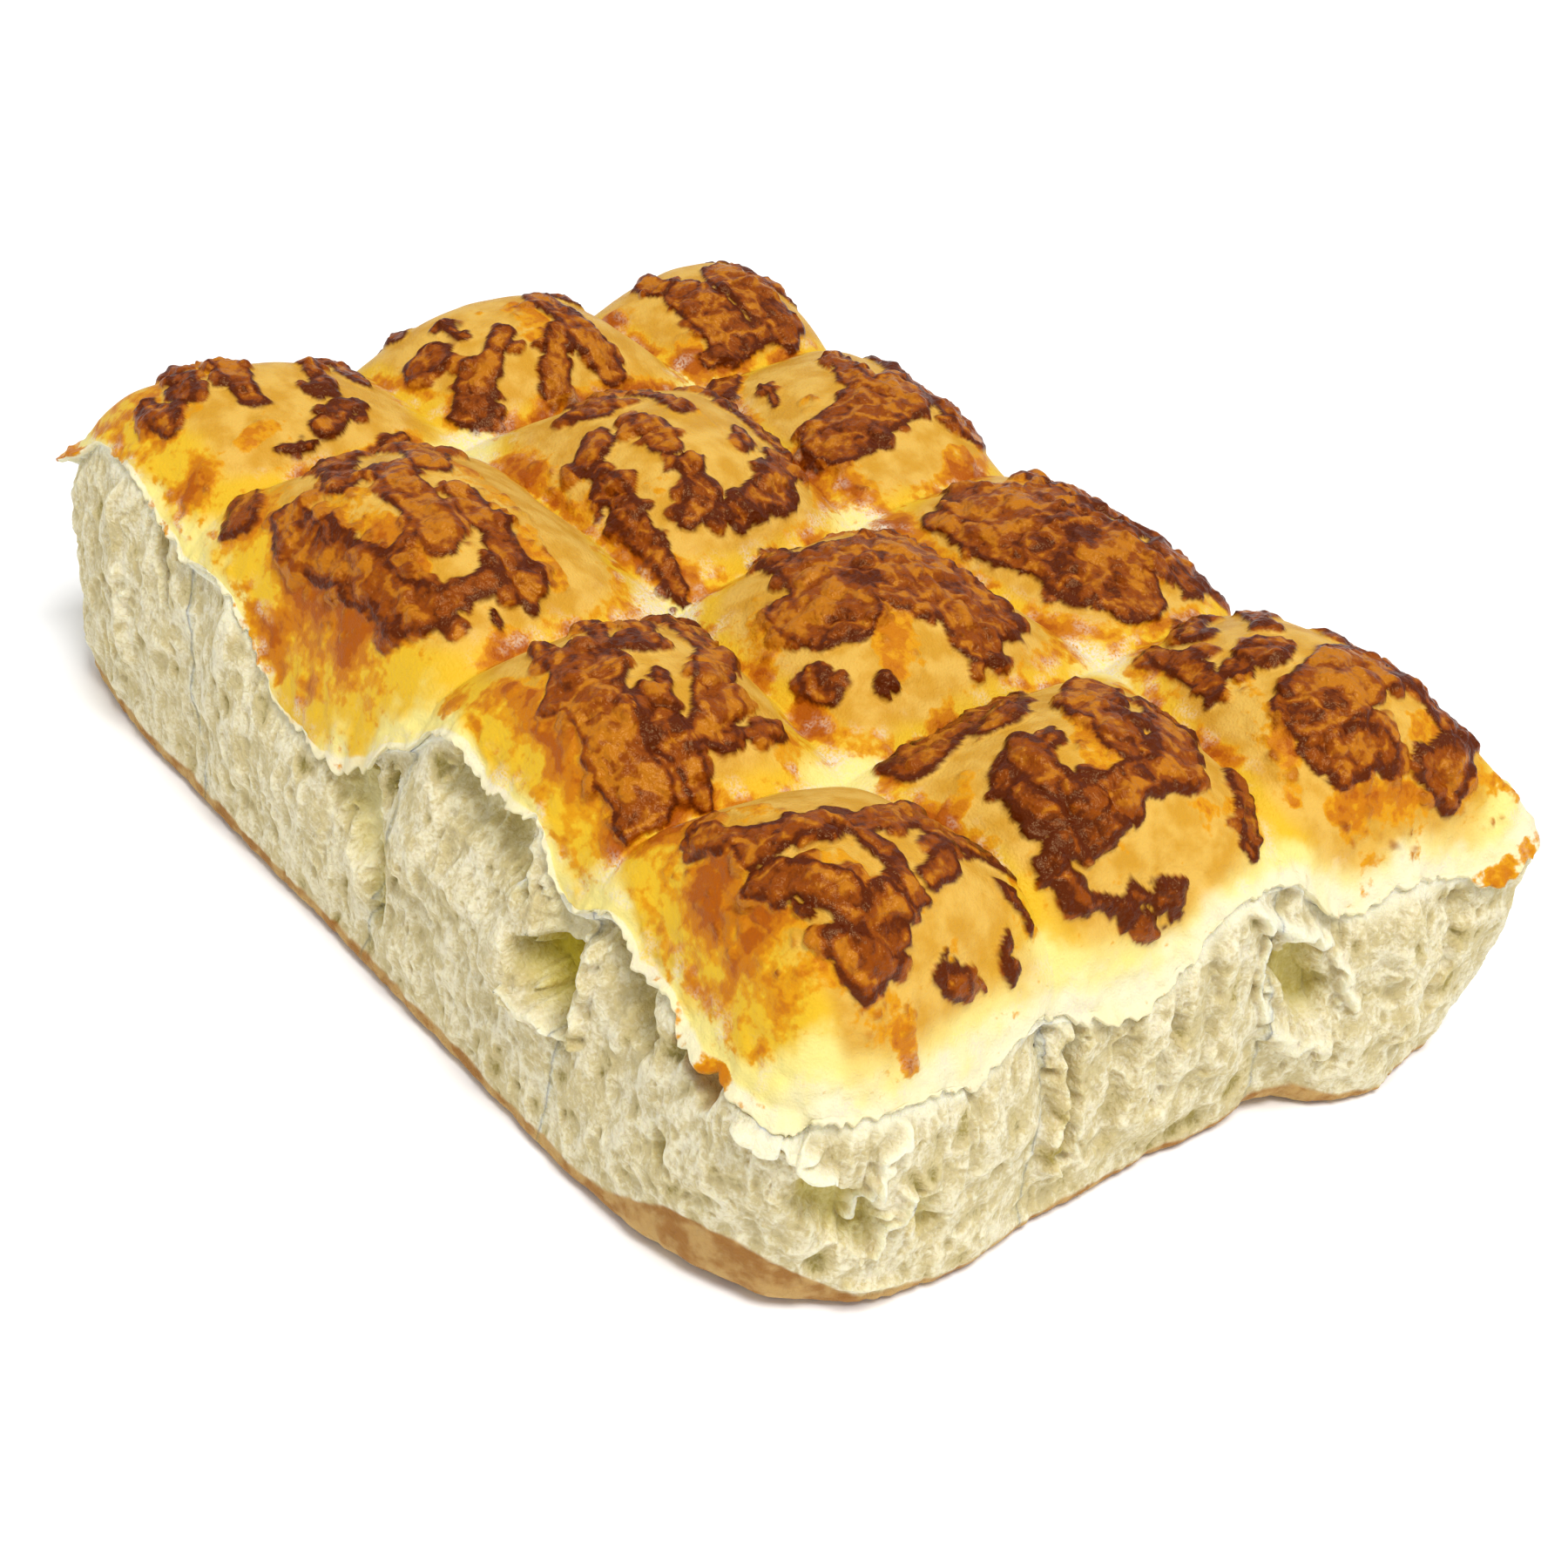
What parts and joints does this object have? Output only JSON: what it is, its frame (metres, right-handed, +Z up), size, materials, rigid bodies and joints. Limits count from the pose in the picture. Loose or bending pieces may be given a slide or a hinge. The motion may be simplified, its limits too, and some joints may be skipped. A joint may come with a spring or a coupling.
{
  "type": "pull-apart dinner rolls",
  "caption": "Slab of soft dinner rolls baked side by side and torn free of a larger batch: domed crusts with browned cheese, torn crumb on all four sides, and a flat base to rest on.",
  "frame": {"origin": "middle of the flat base of the slab", "axes": "+X along the slab's long side, +Y across its short side, +Z up through the crowns of the rolls"},
  "size_m": [0.2444, 0.1726, 0.0776],
  "materials": {
    "crust": null,
    "crumb": null,
    "cheese": null
  },
  "bodies": {
    "root": {"rolls": "crust"}
  },
  "joints": []
}
